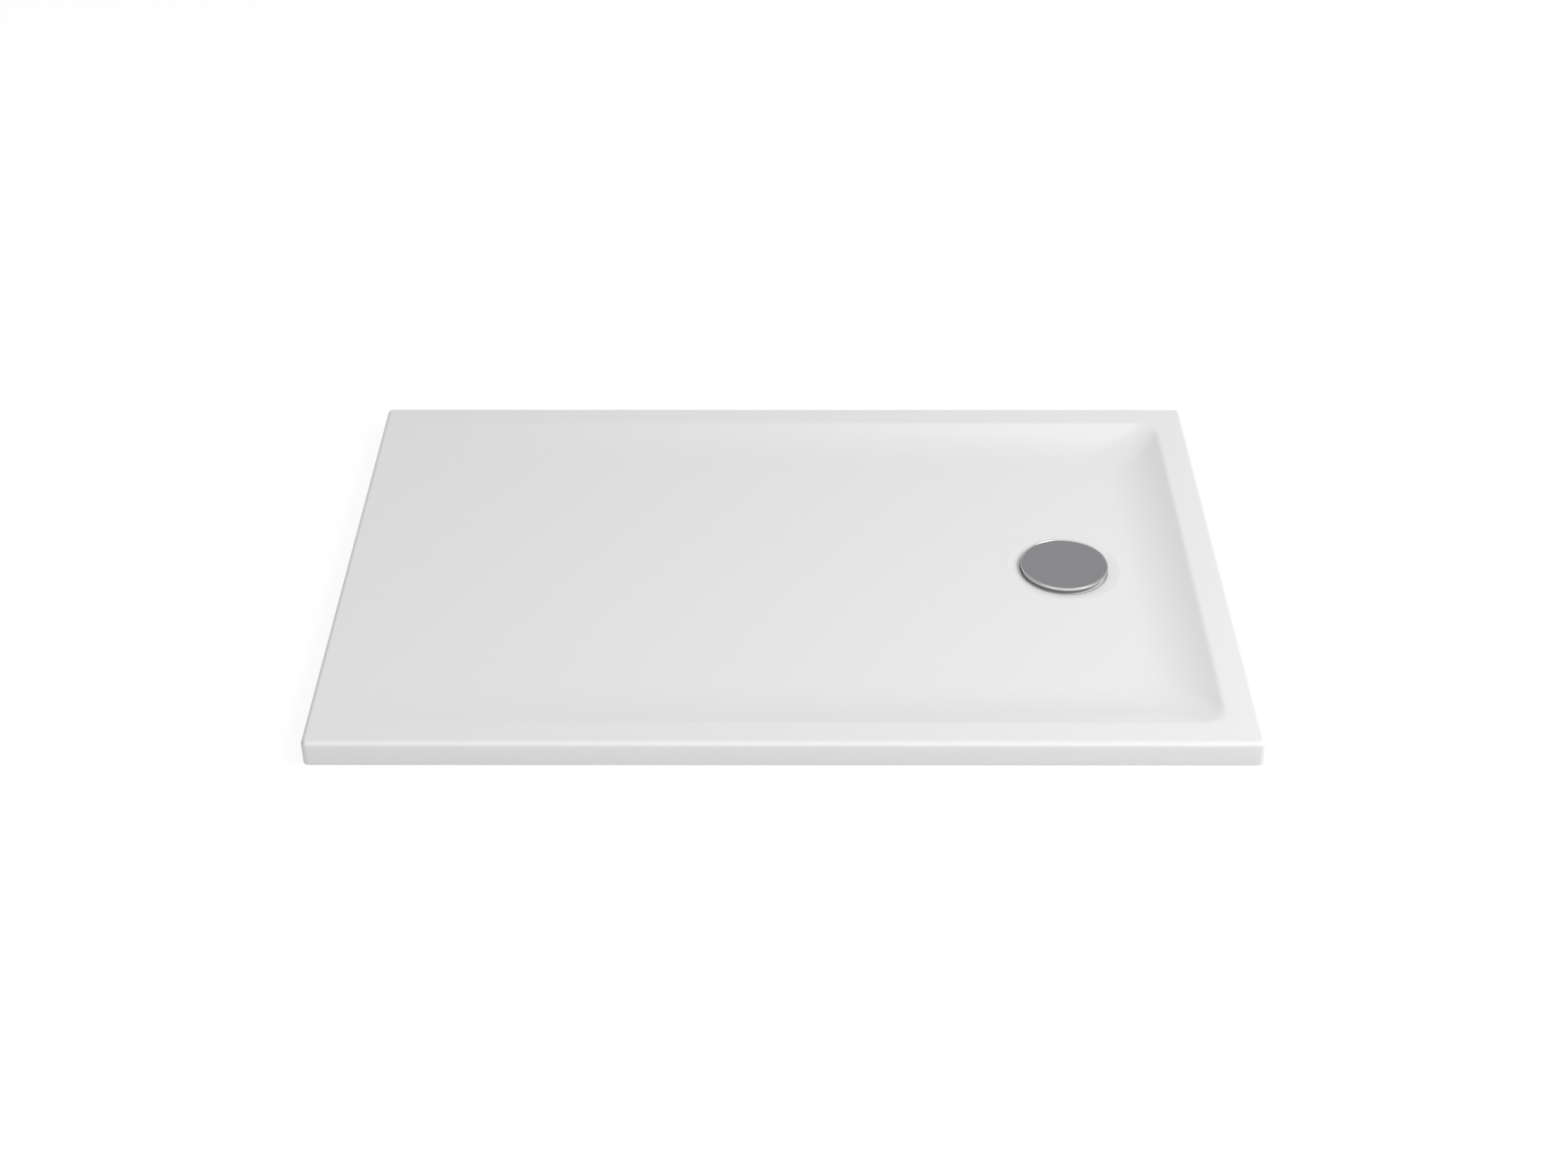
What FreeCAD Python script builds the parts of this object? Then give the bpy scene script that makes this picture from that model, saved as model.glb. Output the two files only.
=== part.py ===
import FreeCAD, Part
import math
import os

# Flat rectangular shower tray with one rimless entry edge, and its 90 mm waste with a lift-out trap insert.
#
# Frame, in millimetres: +Z up, +X towards the drain end, +Y towards the wall behind.
# The origin is the centre of the tray's underside: the tray lies on z = 0, and only the trap and its outlet
# hang below, in the recess that the floor has for them.

V = FreeCAD.Vector
NEAR = 0.05                    # heights closer than this count as the same when edges and faces are picked

# ---------------------------------------------------------------- tray, outside
TRAY_LENGTH = 1200.0
TRAY_WIDTH = 800.0
TRAY_HEIGHT = 35.0
CORNER_RADIUS = 8.0            # upright corners of the apron
SMALLEST_CORNER = 0.5          # upright corners of the layers inside, at least
EDGE_RADIUS = 6.5              # top edge all round
SKIN = 4.5                     # acrylic sheet

# ---------------------------------------------------------------- tray, basin
RIM_WIDTH = 43.0               # level rim on the two long sides and at the drain end
RIM_ROUND = 4.0                # the rim rolls into the cove over twice this width
COVE_WIDTH = 85.0              # hollow slope between the rim and the floor
COVE_STATIONS = 6              # steps of the cove's curve
BASIN_CORNER = 30.0            # plan radius of the basin's corners at the rim
FOOT_CORNER = 62.0             # and at the foot of the cove
FLOOR_FALL = 0.0153            # drop per length, from the entry edge to the drain end
ENTRY_LAND = 0.5               # level strip inside the entry edge's wall, before the fall starts

# ---------------------------------------------------------------- tray, drain
DRAIN_FROM_END = 213.0         # drain centre from the drain end
DISH_RADIUS = 77.0             # shallow round dish that the cover stands in
DISH_FOOT_RADIUS = 60.0
DISH_DEPTH = 2.1
RECESS_RADIUS = 58.5           # level seat of the flange, under the cover
RECESS_DEPTH = 6.2             # below the floor
WASTE_HOLE_RADIUS = 45.0       # the 90 mm hole

# ---------------------------------------------------------------- tray, backing
BOND = 0.1                     # glue line
LAMINATE = 2.0                 # glass-fibre layer under the acrylic
BASE_BOARD = 6.0
BATTEN_WIDTH = 32.0
BATTEN_JOINT = 0.5             # between battens, and round the foam
TRAP_POCKET_PLAY = 20.0        # round the trap's plate, in foam and base board
OUTLET_POCKET_PLAY = 3.0       # and round the outlet's nut

# ---------------------------------------------------------------- waste flange
UPPER_SEAL = 0.8
SEAL_SETBACK = 1.0             # both seals start this far outside the tray's hole
SEAL_BAND = 10.0               # radial width of both seals
FLANGE_LAP = 1.0               # of the flange's ring past the seal
FLANGE_THICKNESS = 2.2
FLANGE_CHAMFER = 0.8
FLANGE_HOLE_PLAY = 1.0         # between the flange's sleeve and the tray's hole
FLANGE_SLEEVE = 2.5            # wall of the sleeve
FLANGE_FLOOR = 2.4
MOUTH_RADIUS = 27.2            # bore for the lift-out insert
COLLAR_WALL = 2.3              # short tube round the mouth
COLLAR_LENGTH = 11.0           # below the flange's floor
GASKET = 3.0
CLAMP_GAP = 0.6                # left between flange and trap body when the screws are tight

# ---------------------------------------------------------------- screws and nuts
SCREW_COUNT = 3
SCREW_FIRST = 63.0             # angle of the first screw
SCREW_CIRCLE_RADIUS = 36.5
SCREW_RADIUS = 2.4
SCREW_LENGTH = 16.0
SCREW_HEAD_RADIUS = 4.6
SCREW_HEAD = 2.6
SCREW_HOLE_PLAY = 0.35
SCREW_DRIVE_WIDTH = 3.0        # hexagon socket, across flats
SCREW_DRIVE_DEPTH = 1.6
THREAD_PLAY = 0.05
NUT_SLEEVE_WALL = 1.2          # brass nut set in the boss
NUT_SLEEVE_LENGTH = 10.0
NUT_SLEEVE_PLAY = 0.03
BOSS_WALL = 1.9
BOSS_TIP_PLAY = 1.5            # under the screw's tip
BOSS_FLOOR = 2.0
BOSS_WEB = 4.0                 # rib that joins a boss to the cup

# ---------------------------------------------------------------- trap body
TRAP_PLATE = 4.0
TRAP_PLATE_LAP = 4.0           # of the plate past the gasket
CUP_RADIUS = 46.0
CUP_WALL = 2.4
CUP_FLOOR_ROUND = 9.0
CUP_JOINT_DOWN = 7.0           # weld between the body and the cup, under the outlet's socket
CUP_COLLAR = 2.5               # thickness of each of the two collars that are welded
CUP_COLLAR_LAP = 3.5           # of the collars past the wall
WATER_SEAL = 30.0              # height of water that holds back the drain's air
CUP_UNDER_TUBE = 9.0           # under the dip tube's end

# ---------------------------------------------------------------- outlet
OUTLET_DROP = 30.0             # outlet's centreline under the tray's underside
PIPE_RADIUS = 20.0
PIPE_WALL = 1.8
SPIGOT_REACH = 108.0           # spigot's end past the ball's centre
SPIGOT_CHAMFER = 1.0
BALL_FROM_DRAIN = 76.0
BALL_RADIUS = 27.0
BALL_WALL = 2.4
BALL_CUT_BACK = 19.0           # the ball's open end, behind its centre
BALL_PLAY = 0.3
SOCKET_WALL = 3.7
SOCKET_STUB = 3.0              # of the body past the cup's wall, that the socket is welded to
SOCKET_REACH = 6.0             # socket's mouth past the ball's centre
CORD_RADIUS = 2.0              # ball seal
CORD_PLAY = 0.1
UNION_NUT_PLAY = 0.3
UNION_NUT_WALL = 3.2
UNION_NUT_BACK = 12.0          # the nut's inner end, behind the ball's centre
UNION_NUT_REACH = 14.0
UNION_NUT_MOUTH_PLAY = 3.2     # round the pipe, for its swing
GRIP_COUNT = 12
GRIP_RADIUS = 2.0
GRIP_PROUD = 1.0               # of the nut's outside

# ---------------------------------------------------------------- lift-out insert
INSERT_PLAY = 0.3
INSERT_WALL = 1.6
INSERT_RIM_LAP = 4.0           # of the rim past the mouth
INSERT_RIM = 1.5
INSERT_NECK = 16.0             # straight neck under the rim
INSERT_CONE = 16.0
DIP_TUBE_RADIUS = 17.0
O_RING_CORD = 1.25             # its section's radius
O_RING_PLAY = 0.1
O_RING_DOWN = 7.0              # its plane, below the flange's floor
GROOVE_PLAY = 0.15

# ---------------------------------------------------------------- hair sieve
SIEVE_PLAY = 0.4
SIEVE_WALL = 1.0
SIEVE_RIM_LAP = 5.0            # of the rim past the insert's bore
SIEVE_RIM = 1.0
SIEVE_DEPTH = 10.0
SIEVE_TAPER = 2.0              # the cup narrows by this much, in radius
SIEVE_KNOB_RADIUS = 4.0
SIEVE_KNOB_HEIGHT = 4.5        # above the rim
SIEVE_SLOT_COUNT = 12
SIEVE_SLOT_WIDTH = 1.7
SIEVE_SLOT_FROM_KNOB = 4.0     # between the knob's stem and the slots
SIEVE_SLOT_FROM_WALL = 2.0     # between the slots and the cup's wall

# ---------------------------------------------------------------- cover
COVER_RADIUS = 60.0
COVER_THICKNESS = 2.7
COVER_SHEET = 0.9
COVER_EDGE_ROUND = 0.7
COVER_TOP_BELOW_RIM = 7.8
CARRIER_PLAY = 0.2             # round the carrier, inside the cap's edge
RIB_COUNT = 6
RIB_FIRST = 3.0                # angle of the first rib
RIB_WIDTH = 3.0
RIB_DEPTH = 1.6
RIB_END_RADIUS = 54.0
HUB_RADIUS = 12.0
HUB_WALL = 2.0
FOOT_RADIUS = 2.2
FOOT_CIRCLE_RADIUS = 51.0
LEG_WIDTH = 9.0
LEG_THICKNESS = 1.4
LEG_PLAY = 0.3                 # inside the flange's sleeve
LEG_END_GAP = 1.6              # over the flange's floor

# ================================================================ heights and places that follow
HALF_LENGTH = TRAY_LENGTH / 2
HALF_WIDTH = TRAY_WIDTH / 2
DRAIN_X = HALF_LENGTH - DRAIN_FROM_END
WALL = SKIN + BOND + LAMINATE + BOND
FALL_START_X = -HALF_LENGTH + max(EDGE_RADIUS, WALL) + ENTRY_LAND
FLOOR_Z = TRAY_HEIGHT - FLOOR_FALL * (DRAIN_X - FALL_START_X)
RECESS_Z = FLOOR_Z - RECESS_DEPTH
CLAMP_Z = RECESS_Z - SKIN - BOND - LAMINATE
SEAL_INNER = WASTE_HOLE_RADIUS + SEAL_SETBACK
SEAL_OUTER = SEAL_INNER + SEAL_BAND
FLANGE_RADIUS = SEAL_OUTER + FLANGE_LAP
FLANGE_SEAT_Z = RECESS_Z + UPPER_SEAL
FLANGE_TOP_Z = FLANGE_SEAT_Z + FLANGE_THICKNESS
SLEEVE_OUTER = WASTE_HOLE_RADIUS - FLANGE_HOLE_PLAY
SLEEVE_INNER = SLEEVE_OUTER - FLANGE_SLEEVE
TRAP_PLATE_TOP = CLAMP_Z - GASKET
TRAP_PLATE_UNDER = TRAP_PLATE_TOP - TRAP_PLATE
TRAP_PLATE_RADIUS = SEAL_OUTER + TRAP_PLATE_LAP
FLANGE_UNDER_Z = TRAP_PLATE_TOP + CLAMP_GAP
FLANGE_FLOOR_Z = FLANGE_UNDER_Z + FLANGE_FLOOR
COLLAR_RADIUS = MOUTH_RADIUS + COLLAR_WALL
COLLAR_END_Z = FLANGE_UNDER_Z - COLLAR_LENGTH
SCREW_TIP_Z = FLANGE_FLOOR_Z - SCREW_LENGTH
NUT_SLEEVE_BORE = SCREW_RADIUS + THREAD_PLAY
NUT_SLEEVE_RADIUS = NUT_SLEEVE_BORE + NUT_SLEEVE_WALL
BOSS_BORE = NUT_SLEEVE_RADIUS + NUT_SLEEVE_PLAY
BOSS_RADIUS = BOSS_BORE + BOSS_WALL
BOSS_END_Z = SCREW_TIP_Z - BOSS_TIP_PLAY - BOSS_FLOOR
CUP_BORE = CUP_RADIUS - CUP_WALL
OUTLET_Z = -OUTLET_DROP
PIPE_BORE = PIPE_RADIUS - PIPE_WALL
DIP_TUBE_END_Z = OUTLET_Z - PIPE_BORE - WATER_SEAL
CUP_FLOOR_Z = DIP_TUBE_END_Z - CUP_UNDER_TUBE
CUP_END_Z = CUP_FLOOR_Z - CUP_WALL
BALL_X = DRAIN_X + BALL_FROM_DRAIN
SEAT_RADIUS = BALL_RADIUS + BALL_PLAY
SOCKET_RADIUS = SEAT_RADIUS + SOCKET_WALL
SOCKET_START = CUP_RADIUS + SOCKET_STUB - BALL_FROM_DRAIN
CORD_CIRCLE_RADIUS = SEAT_RADIUS - CORD_PLAY - CORD_RADIUS
CORD_BACK = math.sqrt((SEAT_RADIUS + CORD_RADIUS) ** 2 - CORD_CIRCLE_RADIUS ** 2)
SHOULDER_BACK = CORD_BACK + CORD_RADIUS + CORD_PLAY
CUP_JOINT_Z = OUTLET_Z - SOCKET_RADIUS - CUP_JOINT_DOWN
CUP_COLLAR_RADIUS = CUP_RADIUS + CUP_COLLAR_LAP
UNION_NUT_BORE = SOCKET_RADIUS + UNION_NUT_PLAY
UNION_NUT_RADIUS = UNION_NUT_BORE + UNION_NUT_WALL
INSERT_NECK_RADIUS = MOUTH_RADIUS - INSERT_PLAY
O_RING_CIRCLE_RADIUS = MOUTH_RADIUS - O_RING_PLAY - O_RING_CORD
GROOVE_RADIUS = O_RING_CIRCLE_RADIUS - O_RING_CORD - GROOVE_PLAY
INSERT_BORE = GROOVE_RADIUS - INSERT_WALL
INSERT_RIM_TOP_Z = FLANGE_FLOOR_Z + INSERT_RIM
O_RING_Z = FLANGE_FLOOR_Z - O_RING_DOWN
COVER_TOP_Z = TRAY_HEIGHT - COVER_TOP_BELOW_RIM
COVER_UNDER_Z = COVER_TOP_Z - COVER_THICKNESS
CARRIER_TOP_Z = COVER_TOP_Z - COVER_SHEET - BOND
RIB_UNDER_Z = COVER_UNDER_Z - RIB_DEPTH
POCKET_RADIUS = TRAP_PLATE_RADIUS + TRAP_POCKET_PLAY
POCKET_SLOT_HALF = UNION_NUT_RADIUS + GRIP_PROUD + OUTLET_POCKET_PLAY
POCKET_SLOT_END_X = BALL_X + UNION_NUT_REACH + OUTLET_POCKET_PLAY


# ================================================================ small helpers
def box(x0, x1, y0, y1, z0, z1):
    """Box between two corners."""
    return Part.makeBox(x1 - x0, y1 - y0, z1 - z0, V(x0, y0, z0))


def rod(radius, z0, z1, x=DRAIN_X, y=0.0):
    """Upright cylinder, about the drain unless placed elsewhere."""
    return Part.makeCylinder(radius, z1 - z0, V(x, y, z0))


def ring(inner, outer, z0, z1):
    """Flat ring about the drain."""
    return rod(outer, z0, z1).cut(rod(inner, z0, z1))


def turned(points, origin, axis, across):
    """Solid of revolution from (distance along the axis, radius) points.

    A point with a third entry is the middle point of an arc between its neighbours."""
    spots = [origin + axis * point[0] + across * point[1] for point in points]
    spots.append(spots[0])
    edges = []
    i = 0
    while i < len(points):
        if i + 1 < len(points) and len(points[i + 1]) == 3:
            edges.append(Part.Arc(spots[i], spots[i + 1], spots[i + 2]).toShape())
            i += 2
        else:
            edges.append(Part.LineSegment(spots[i], spots[i + 1]).toShape())
            i += 1
    return Part.Face(Part.Wire(edges)).revolve(origin, axis, 360)


def upright(points):
    """Solid turned about the drain's upright axis, from (z, radius) points."""
    return turned(points, V(DRAIN_X, 0, 0), V(0, 0, 1), V(1, 0, 0))


def outlet_turned(points):
    """Solid turned about the outlet's level axis, from (distance past the ball's centre, radius) points."""
    return turned(points, V(BALL_X, 0, OUTLET_Z), V(1, 0, 0), V(0, 0, 1))


def outlet_rod(radius, start, end):
    """Level cylinder on the outlet's axis, between two distances past the ball's centre."""
    return Part.makeCylinder(radius, end - start, V(BALL_X + start, 0, OUTLET_Z), V(1, 0, 0))


def spun(shape, angle):
    """Copy of a shape turned about the drain's upright axis."""
    copy = shape.copy()
    copy.rotate(V(DRAIN_X, 0, 0), V(0, 0, 1), angle)
    return copy


def around(shape, count, first):
    """Copies of a shape made at angle 0, evenly spaced about the drain from the first angle."""
    return [spun(shape, first + 360.0 * i / count) for i in range(count)]


def save(name, shape):
    """Writes one piece, or one group of like pieces, to its file."""
    shape.exportStep(os.path.join("parts", name + ".step"))


# ================================================================ the tray's surfaces
def surface_height(share, x):
    """Height of the basin's surface at x, where its depth is this share of the floor's depth."""
    return TRAY_HEIGHT - share * FLOOR_FALL * (x - FALL_START_X)


def contours():
    """(inset from the rim line, share of the floor's depth) of each contour, from the rim to the floor.

    The cove is a parabola that meets the floor without a kink, and the rim rolls into it over RIM_ROUND."""
    start_slope = 2.0 / COVE_WIDTH
    found = [(-RIM_ROUND, 0.0), (0.0, start_slope * RIM_ROUND / 4)]
    for i in range(COVE_STATIONS + 1):
        inset = RIM_ROUND + (COVE_WIDTH - RIM_ROUND) * i / COVE_STATIONS
        found.append((inset, 1.0 - (1.0 - inset / COVE_WIDTH) ** 2))
    return found


def contour_edges(inset, share, drop):
    """One contour, lowered by drop: from the entry edge along the front, the drain end and the back."""
    half = HALF_WIDTH - RIM_WIDTH - inset
    end = HALF_LENGTH - RIM_WIDTH - inset
    turn = BASIN_CORNER + (FOOT_CORNER - BASIN_CORNER) * max(0.0, inset) / COVE_WIDTH
    slant = turn * (1.0 - math.sqrt(0.5))

    def at(x, y):
        return V(x, y, surface_height(share, x) - drop)

    front = [at(FALL_START_X, -half), at(end - turn, -half)]
    side = [at(end, -half + turn), at(end, half - turn)]
    back = [at(end - turn, half), at(FALL_START_X, half)]
    return [
        Part.LineSegment(front[0], front[1]).toShape(),
        Part.Arc(front[1], at(end - slant, -half + slant), side[0]).toShape(),
        Part.LineSegment(side[0], side[1]).toShape(),
        Part.Arc(side[1], at(end - slant, half - slant), back[0]).toShape(),
        Part.LineSegment(back[0], back[1]).toShape(),
    ]


def plain_block(inset, top_z):
    """The tray's outline, drawn in by inset, from z = 0 up to top_z."""
    block = box(-HALF_LENGTH + inset, HALF_LENGTH - inset, -HALF_WIDTH + inset, HALF_WIDTH - inset, 0, top_z)
    upright_edges = [edge for edge in block.Edges if abs(edge.tangentAt(edge.FirstParameter).z) > 0.5]
    return block.makeFillet(max(CORNER_RADIUS - inset, SMALLEST_CORNER), upright_edges)


def with_basin(block, drop):
    """A block whose level top, lowered by drop, gets the basin's cove and falling floor."""
    rims = [contour_edges(inset, share, drop) for inset, share in contours()]
    cove = Part.makeLoft([Part.Wire(edges) for edges in rims], False, False)
    foot = rims[-1]
    foot_front = foot[0].Vertexes[0].Point
    foot_back = foot[-1].Vertexes[1].Point
    rim_front = rims[0][0].Vertexes[0].Point
    rim_back = rims[0][-1].Vertexes[1].Point
    start = Part.LineSegment(foot_back, foot_front).toShape()
    floor = Part.Face(Part.Wire(foot + [start]))
    fades = [Part.LineSegment(foot_front, rim_front).toShape(), Part.LineSegment(rim_back, foot_back).toShape()]
    opening = Part.Face(Part.Wire([fades[0]] + rims[0] + [fades[1], start]))
    top_z = TRAY_HEIGHT - drop
    tops = [face for face in block.Faces if face.BoundBox.ZMin > top_z - NEAR]
    sides = [face for face in block.Faces if face.BoundBox.ZMin <= top_z - NEAR]
    skin = Part.makeCompound(sides + tops[0].cut(opening).Faces + cove.Faces + [floor])
    skin.sewShape()
    return Part.makeSolid(skin.Shells[0])


def drain_cutters(drop, widen):
    """The round dish, square to the falling floor, and the flange's level seat, lowered and widened."""
    tilt = math.atan(FLOOR_FALL)
    up = V(math.sin(tilt), 0, math.cos(tilt))
    slope = (DISH_RADIUS - DISH_FOOT_RADIUS) / DISH_DEPTH
    foot = V(DRAIN_X, 0, FLOOR_Z - drop) - up * DISH_DEPTH
    dish = Part.makeCone(DISH_FOOT_RADIUS, DISH_FOOT_RADIUS + slope * 2 * DISH_DEPTH, 2 * DISH_DEPTH, foot, up)
    return [dish, rod(RECESS_RADIUS + widen, RECESS_Z - drop, FLOOR_Z - drop)]


def tray_filling(depth):
    """Everything in the tray that lies deeper than this under its outside, from z = 0 up."""
    return with_basin(plain_block(depth, TRAY_HEIGHT - depth), depth).cut(drain_cutters(depth, depth))


# ================================================================ tray pieces
def make_tray_shell():
    """Acrylic skin: apron, rim, cove, floor, dish and the waste hole."""
    block = plain_block(0.0, TRAY_HEIGHT)
    block = block.makeFillet(EDGE_RADIUS, [e for e in block.Edges if e.BoundBox.ZMin > TRAY_HEIGHT - NEAR])
    outside = with_basin(block, 0.0).cut(drain_cutters(0.0, 0.0))
    return outside.cut([tray_filling(SKIN), rod(WASTE_HOLE_RADIUS, 0, TRAY_HEIGHT)])


def make_laminate_backing():
    """Glass-fibre layer that follows the skin's inside."""
    outside = tray_filling(SKIN + BOND)
    return outside.cut([tray_filling(SKIN + BOND + LAMINATE), rod(WASTE_HOLE_RADIUS, 0, TRAY_HEIGHT)])


def make_battens(core):
    """Timber under the rim and the entry edge: front and back run through, the other two fit between."""
    x = HALF_LENGTH - WALL
    y = HALF_WIDTH - WALL
    inner_x = x - BATTEN_WIDTH
    inner_y = y - BATTEN_WIDTH
    between = inner_y - BATTEN_JOINT
    low = BASE_BOARD + BOND
    return {
        "batten_front": core.common(box(-x, x, -y, -inner_y, low, TRAY_HEIGHT)),
        "batten_back": core.common(box(-x, x, inner_y, y, low, TRAY_HEIGHT)),
        "batten_entry": core.common(box(-x, -inner_x, -between, between, low, TRAY_HEIGHT)),
        "batten_drain_end": core.common(box(inner_x, x, -between, between, low, TRAY_HEIGHT)),
    }


def pocket(z0, z1):
    """Room for the trap and for its outlet's nut."""
    slot = box(DRAIN_X, POCKET_SLOT_END_X, -POCKET_SLOT_HALF, POCKET_SLOT_HALF, z0, z1)
    return rod(POCKET_RADIUS, z0, z1).fuse(slot).removeSplitter()


def make_foam_core(core):
    """Rigid foam inside the battens."""
    x = HALF_LENGTH - WALL - BATTEN_WIDTH - BATTEN_JOINT
    y = HALF_WIDTH - WALL - BATTEN_WIDTH - BATTEN_JOINT
    low = BASE_BOARD + BOND
    return core.common(box(-x, x, -y, y, low, TRAY_HEIGHT)).cut(pocket(low, TRAY_HEIGHT))


def make_base_board():
    """Board that closes the tray's underside and carries it."""
    return plain_block(WALL, BASE_BOARD).cut(pocket(0, BASE_BOARD))


# ================================================================ waste, fixed pieces
def make_waste_flange():
    """Clamp flange: ring in the recess, sleeve through the hole, screw floor, and collar round the mouth."""
    flange = upright([
        (COLLAR_END_Z, MOUTH_RADIUS),
        (FLANGE_FLOOR_Z, MOUTH_RADIUS),
        (FLANGE_FLOOR_Z, SLEEVE_INNER),
        (FLANGE_TOP_Z - FLANGE_CHAMFER, SLEEVE_INNER),
        (FLANGE_TOP_Z, SLEEVE_INNER + FLANGE_CHAMFER),
        (FLANGE_TOP_Z, FLANGE_RADIUS - FLANGE_CHAMFER),
        (FLANGE_TOP_Z - FLANGE_CHAMFER, FLANGE_RADIUS),
        (FLANGE_SEAT_Z, FLANGE_RADIUS),
        (FLANGE_SEAT_Z, SLEEVE_OUTER),
        (FLANGE_UNDER_Z, SLEEVE_OUTER),
        (FLANGE_UNDER_Z, COLLAR_RADIUS),
        (COLLAR_END_Z, COLLAR_RADIUS),
    ])
    hole = rod(SCREW_RADIUS + SCREW_HOLE_PLAY, FLANGE_UNDER_Z, FLANGE_FLOOR_Z, DRAIN_X + SCREW_CIRCLE_RADIUS)
    return flange.cut(around(hole, SCREW_COUNT, SCREW_FIRST))


def make_flange_screws():
    """Pan-head screws with hexagon sockets."""
    x = DRAIN_X + SCREW_CIRCLE_RADIUS
    head_top = FLANGE_FLOOR_Z + SCREW_HEAD
    head = rod(SCREW_HEAD_RADIUS, FLANGE_FLOOR_Z, head_top, x)
    head = head.makeFillet(SCREW_HEAD / 3, [e for e in head.Edges if e.BoundBox.ZMin > head_top - NEAR])
    reach = SCREW_DRIVE_WIDTH / math.sqrt(3.0)
    corners = [math.radians(60 * i) for i in range(7)]
    outline = [V(x + reach * math.cos(a), reach * math.sin(a), head_top - SCREW_DRIVE_DEPTH) for a in corners]
    drive = Part.Face(Part.makePolygon(outline)).extrude(V(0, 0, SCREW_DRIVE_DEPTH))
    screw = head.fuse(rod(SCREW_RADIUS, SCREW_TIP_Z, FLANGE_FLOOR_Z, x)).cut(drive)
    return Part.makeCompound(around(screw, SCREW_COUNT, SCREW_FIRST))


def make_insert_nuts():
    """Brass nuts in the trap's bosses."""
    x = DRAIN_X + SCREW_CIRCLE_RADIUS
    bottom = TRAP_PLATE_TOP - NUT_SLEEVE_LENGTH
    nut = rod(NUT_SLEEVE_RADIUS, bottom, TRAP_PLATE_TOP, x).cut(rod(NUT_SLEEVE_BORE, bottom, TRAP_PLATE_TOP, x))
    return Part.makeCompound(around(nut, SCREW_COUNT, SCREW_FIRST))


def make_trap_body():
    """Clamp plate, screw bosses and upper wall of the trap, with a stub for the outlet's socket on one side."""
    plate = rod(TRAP_PLATE_RADIUS, TRAP_PLATE_UNDER, TRAP_PLATE_TOP)
    wall = rod(CUP_RADIUS, CUP_JOINT_Z, TRAP_PLATE_TOP)
    collar = rod(CUP_COLLAR_RADIUS, CUP_JOINT_Z, CUP_JOINT_Z + CUP_COLLAR)
    stub = outlet_rod(SOCKET_RADIUS, -BALL_FROM_DRAIN, SOCKET_START)
    body = plate.fuse([wall, collar, stub]).cut(rod(CUP_BORE, CUP_JOINT_Z, TRAP_PLATE_TOP))
    x = DRAIN_X + SCREW_CIRCLE_RADIUS
    web_end = DRAIN_X + CUP_RADIUS - CUP_WALL / 2
    web = box(x, web_end, -BOSS_WEB / 2, BOSS_WEB / 2, BOSS_END_Z, TRAP_PLATE_TOP)
    boss = rod(BOSS_RADIUS, BOSS_END_Z, TRAP_PLATE_TOP, x).fuse(web)
    bore = rod(BOSS_BORE, BOSS_END_Z + BOSS_FLOOR, TRAP_PLATE_TOP, x)
    body = body.fuse(around(boss, SCREW_COUNT, SCREW_FIRST)).cut(around(bore, SCREW_COUNT, SCREW_FIRST))
    return body.cut(outlet_rod(PIPE_BORE, -BALL_FROM_DRAIN, SOCKET_START))


def make_outlet_socket():
    """Socket of the ball joint, welded to the body's stub and plate, with a shoulder that the ball seal lies on.

    The shoulder and the bore behind it both end where the ball clears them.
    """
    shoulder_bore = math.sqrt(SEAT_RADIUS ** 2 - SHOULDER_BACK ** 2)
    bore_back = math.sqrt(SEAT_RADIUS ** 2 - PIPE_BORE ** 2)
    return outlet_rod(SOCKET_RADIUS, SOCKET_START, SOCKET_REACH).cut([
        rod(TRAP_PLATE_RADIUS, TRAP_PLATE_UNDER, TRAP_PLATE_TOP),
        outlet_rod(PIPE_BORE, SOCKET_START, 0),
        outlet_rod(shoulder_bore, -bore_back, 0),
        outlet_rod(SEAT_RADIUS, -SHOULDER_BACK, SOCKET_REACH),
    ])


def make_trap_cup():
    """Cup that holds the water, welded by its collar under the trap's body."""
    cup = rod(CUP_RADIUS, CUP_END_Z, CUP_JOINT_Z)
    cup = cup.makeFillet(CUP_FLOOR_ROUND, [e for e in cup.Edges if e.BoundBox.ZMax < CUP_END_Z + NEAR])
    inside = rod(CUP_BORE, CUP_FLOOR_Z, CUP_JOINT_Z)
    rounding = CUP_FLOOR_ROUND - CUP_WALL
    inside = inside.makeFillet(rounding, [e for e in inside.Edges if e.BoundBox.ZMax < CUP_FLOOR_Z + NEAR])
    return cup.fuse(rod(CUP_COLLAR_RADIUS, CUP_JOINT_Z - CUP_COLLAR, CUP_JOINT_Z)).cut(inside)


def make_ball_seal():
    """Cord ring that the ball presses on."""
    return Part.makeTorus(CORD_CIRCLE_RADIUS, CORD_RADIUS, V(BALL_X - CORD_BACK, 0, OUTLET_Z), V(1, 0, 0))


def make_union_nut():
    """Nut over the socket, whose lip holds the ball."""
    nut = outlet_rod(UNION_NUT_RADIUS, -UNION_NUT_BACK, UNION_NUT_REACH)
    grips = []
    for i in range(GRIP_COUNT):
        turn = 2 * math.pi * i / GRIP_COUNT
        radius = UNION_NUT_RADIUS - GRIP_RADIUS + GRIP_PROUD
        foot = V(BALL_X - UNION_NUT_BACK, radius * math.sin(turn), OUTLET_Z + radius * math.cos(turn))
        grips.append(Part.makeCylinder(GRIP_RADIUS, UNION_NUT_BACK + UNION_NUT_REACH, foot, V(1, 0, 0)))
    return nut.fuse(grips).cut([
        outlet_rod(UNION_NUT_BORE, -UNION_NUT_BACK, SOCKET_REACH + BALL_PLAY),
        Part.makeSphere(SEAT_RADIUS, V(BALL_X, 0, OUTLET_Z)),
        outlet_rod(PIPE_RADIUS + UNION_NUT_MOUTH_PLAY, 0, UNION_NUT_REACH),
    ])


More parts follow.
